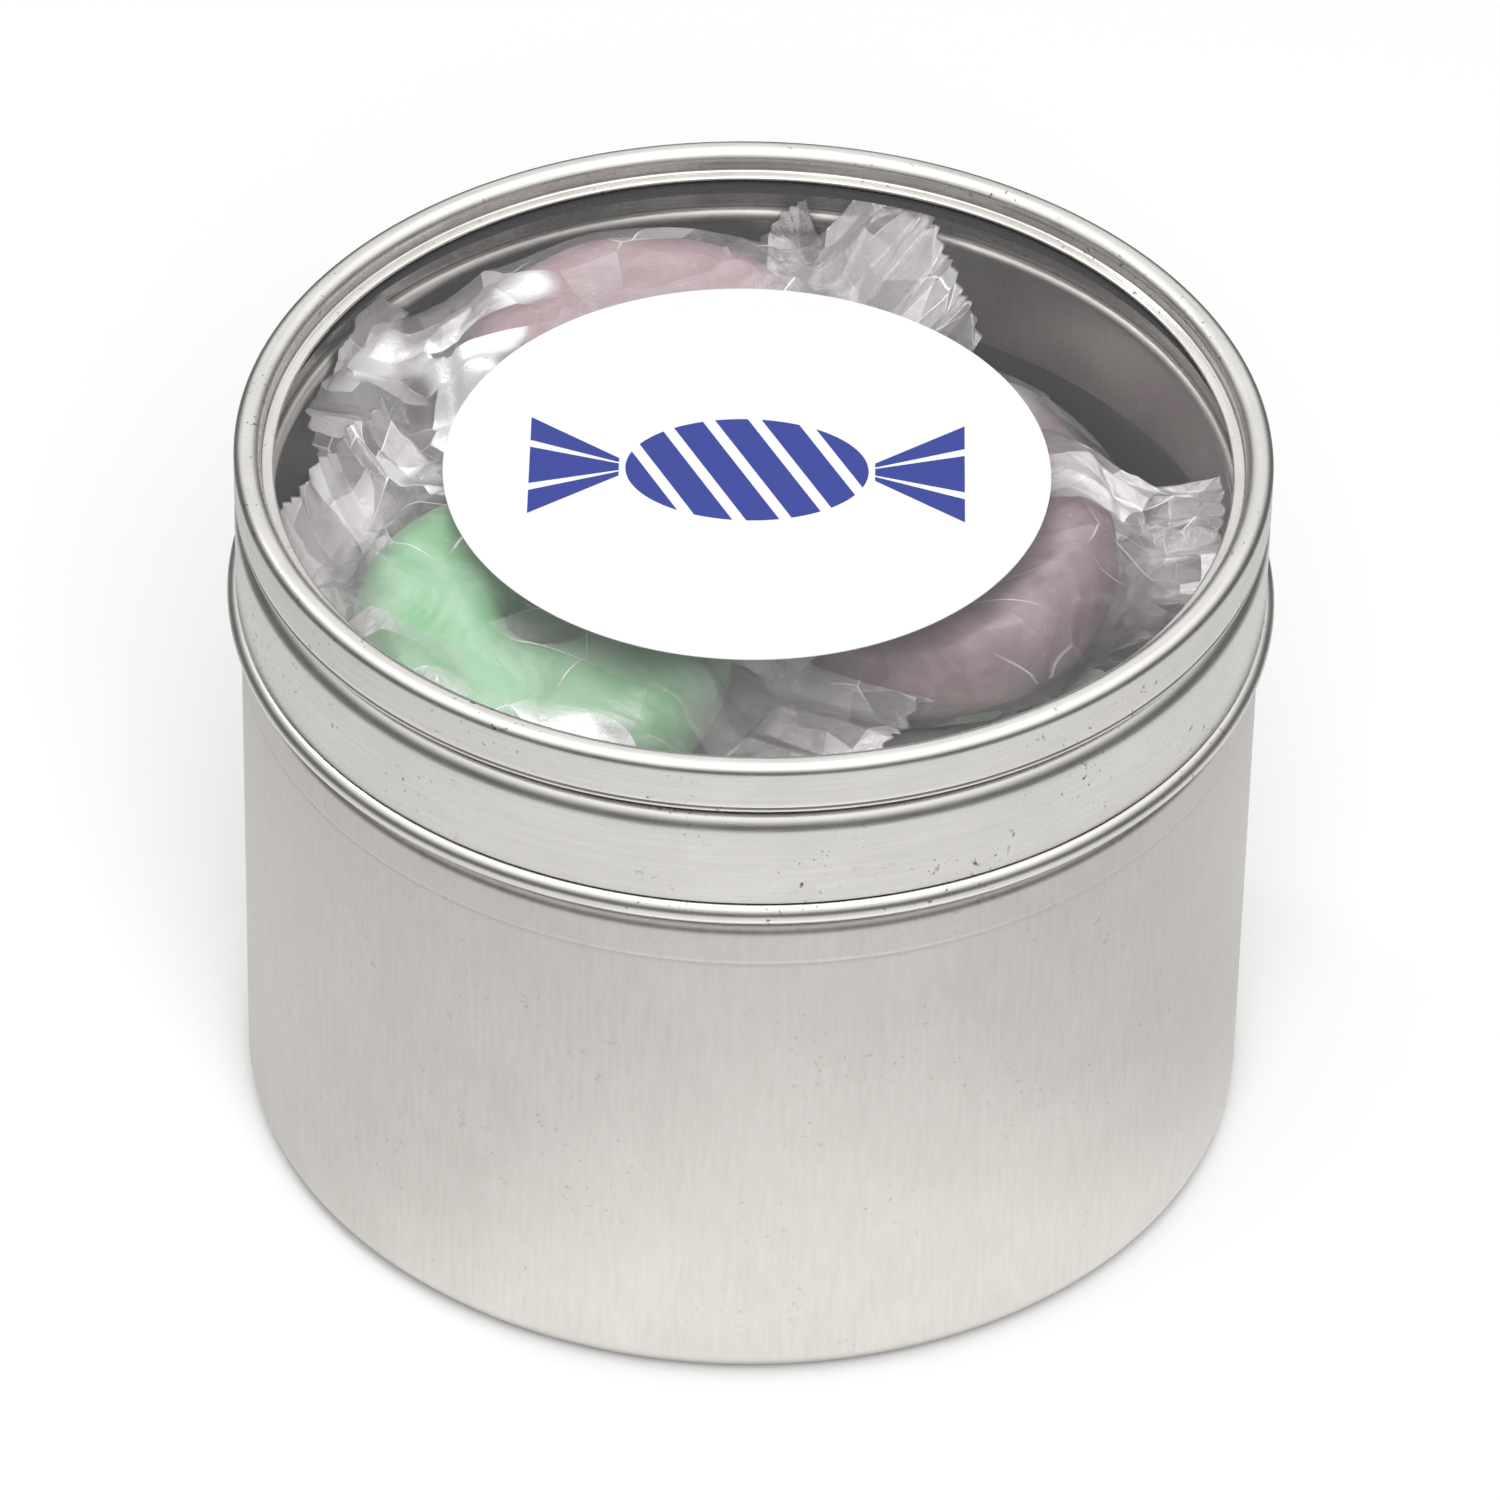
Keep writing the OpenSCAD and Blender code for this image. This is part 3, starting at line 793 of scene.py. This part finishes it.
def bag_surface(right, left, chance, rows, columns):
    """Top and under sheets of a bag in its sweet's own place, the flat layout, and where the film clings."""
    a = np.linspace(-1, 1, rows)[:, None] * np.ones((1, columns))
    b = np.ones((rows, 1)) * np.linspace(-1, 1, columns)[None, :]
    length, bend, end_wide, aside = [np.where(a > 0, r, l) for r, l in zip(right, left)]
    end_half = end_wide / 2 + end_skew * sin(chance.uniform(0, 2 * pi)) * b
    x = a * (hinge + length)
    beyond = np.maximum(np.abs(x) - hinge, 0)
    disc = np.sqrt(np.maximum((film_r + slack) ** 2 - x**2, 0))
    y = b * (disc**5 + end_half**5) ** 0.2
    end = np.clip((beyond - flat_from) / flat_over, 0, 1)
    x = x + np.sign(x) * tooth_depth * (zigzag(y / tooth_pitch) - 1) * (beyond / length) ** tooth_power

    # Over the ring the film follows its rounded side, then slopes down like a tent to the flat ends.
    r = np.hypot(x, y)
    in_edge = np.clip(r - (film_r - film_edge), 0, film_edge)
    over = np.where(r < film_r, film_half - film_edge + np.sqrt(film_edge**2 - in_edge**2), 0)
    slope = np.clip((tent_end - np.abs(x)) / (tent_end - tent_top), 0, 1)
    over = np.maximum(over, film_half * slope * np.maximum(0, 1 - np.abs(b) ** 3) ** 0.6) * (1 - end)
    loosen = np.clip((r - tight_r) / (loose_r - tight_r), least_loose, 1)
    loosen = loosen * np.clip((1 - np.abs(b)) / rim_fade, 0, 1)
    throat = np.clip(1 - np.abs(np.abs(x) - hinge) / throat_half, 0, 1)
    seal = film_t / 2 * ((np.abs(a) < seam) & (np.abs(b) < seam))
    folds = fold_field(x, y, chance, fold_count, lengthways)
    pleats = zigzag(b * chance.uniform(*end_pleats) + pleat_slant * a + chance.random()) - 0.5
    middle = end * (pleat_depth * pleats + end_folds * folds)

    sheets = []
    for side in (1, -1):
        own = fold_field(x, y, chance, fold_count, lengthways)
        small_x, small_y = small_fold_size * x, small_fold_size * y
        own += small_fold_depth * fold_field(small_x, small_y, chance, small_fold_count, small_lengthways)
        gathers = throat_depth * throat * zigzag(b * throat_pleats + chance.random())
        z = middle + side * (over + (np.abs(own) + gathers) * loosen * (1 - end) + seal)
        angle = np.radians(bend) * np.clip(beyond / bend_over, 0, 1)
        along = np.where(beyond > 0, np.sign(x) * (hinge + (np.abs(x) - hinge) * np.cos(angle)), x)
        across = y + aside * (beyond / length) ** drift_power
        sheets.append(np.stack([along, across, z + beyond * np.sin(angle)], -1))
    cling = np.clip((hinge - r) / cling_fade, 0, 1)
    return sheets, np.stack([x, y], -1), cling


def kept_inside(points, number):
    """Points pushed out of the other wrapped sweets, off the tin's side and from under the window."""
    others = [other for other in lay if number in loose and other != number]
    for _ in range(passes):
        for other in others:
            place = np.array(placing(other), float)
            local = (points - place[:3, 3] / MM) @ place[:3, :3]
            r = np.hypot(local[:, 0], local[:, 1])
            out = np.stack([r - (film_r - film_edge), np.abs(local[:, 2]) - (film_half - film_edge)], -1)
            deep = np.hypot(*np.maximum(out, 0).T) + np.minimum(out.max(1), 0) - film_edge - film_apart
            push = np.maximum(out, tiny)
            push = push / np.linalg.norm(push, axis=1, keepdims=True) * np.maximum(-deep, 0)[:, None]
            local[:, :2] *= ((r + push[:, 0]) / np.maximum(r, tiny))[:, None]
            local[:, 2] += np.sign(local[:, 2]) * push[:, 1]
            points = local @ place[:3, :3].T + place[:3, 3] / MM
        r = np.hypot(points[:, 0], points[:, 1])
        z = points[:, 2]
        limit = np.where(z > mouth_foot, mouth_inner, np.where(z > neck_foot, neck_inner, wall_inner))
        excess = np.maximum(r - limit, 0)
        points[:, :2] *= (np.minimum(r, limit) / np.maximum(r, tiny))[:, None]
        if others:
            points[:, 2] += climb * excess
        points[:, 2] = np.clip(points[:, 2], over_base, under_window)
    return points


def film_bag(number):
    """A wrapper: two sheets round its sweet, joined along their rim, with their flat layout as its UV map."""
    name = "film_wrapper_%02d" % number
    rows, columns = fine_grid if number in loose else coarse_grid
    chance = np.random.default_rng(number)
    (top, under), layout, cling = bag_surface(lay[number].right, lay[number].left, chance, rows, columns)
    points = np.concatenate([top.reshape(-1, 3), under.reshape(-1, 3)])
    place = np.array(placing(number), float)
    points = kept_inside(points @ place[:3, :3].T + place[:3, 3] / MM, number)
    i = np.arange(rows * columns).reshape(rows, columns)
    upper = np.stack([i[:-1, :-1], i[1:, :-1], i[1:, 1:], i[:-1, 1:]], -1).reshape(-1, 4)
    faces = np.concatenate([upper, upper[:, ::-1] + rows * columns])
    mesh = bpy.data.meshes.new(name)
    mesh.from_pydata((points * MM).tolist(), [], faces.tolist())
    flat_place = np.concatenate([layout.reshape(-1, 2), layout.reshape(-1, 2) + (0, sheet_apart)])
    flat_place += (sheet_apart * number, 0)
    mesh.uv_layers.new(name="sheet").data.foreach_set("uv", flat_place[faces.ravel()].ravel())
    both_sheets = np.tile(cling.ravel(), 2) * (1.0 if number == tightest else looser_cling)
    mesh.attributes.new("cling", "FLOAT", "POINT").data.foreach_set("value", both_sheets)
    mesh.materials.append(film)
    close_seams(mesh, same_rim_point, only_rim=True)
    mesh.polygons.foreach_set("use_smooth", [True] * len(mesh.polygons))
    return add_object(name, mesh)


for number in lay:
    bag = film_bag(number)
    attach(bag, "tin")
    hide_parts("wrapper_%02d" % number)
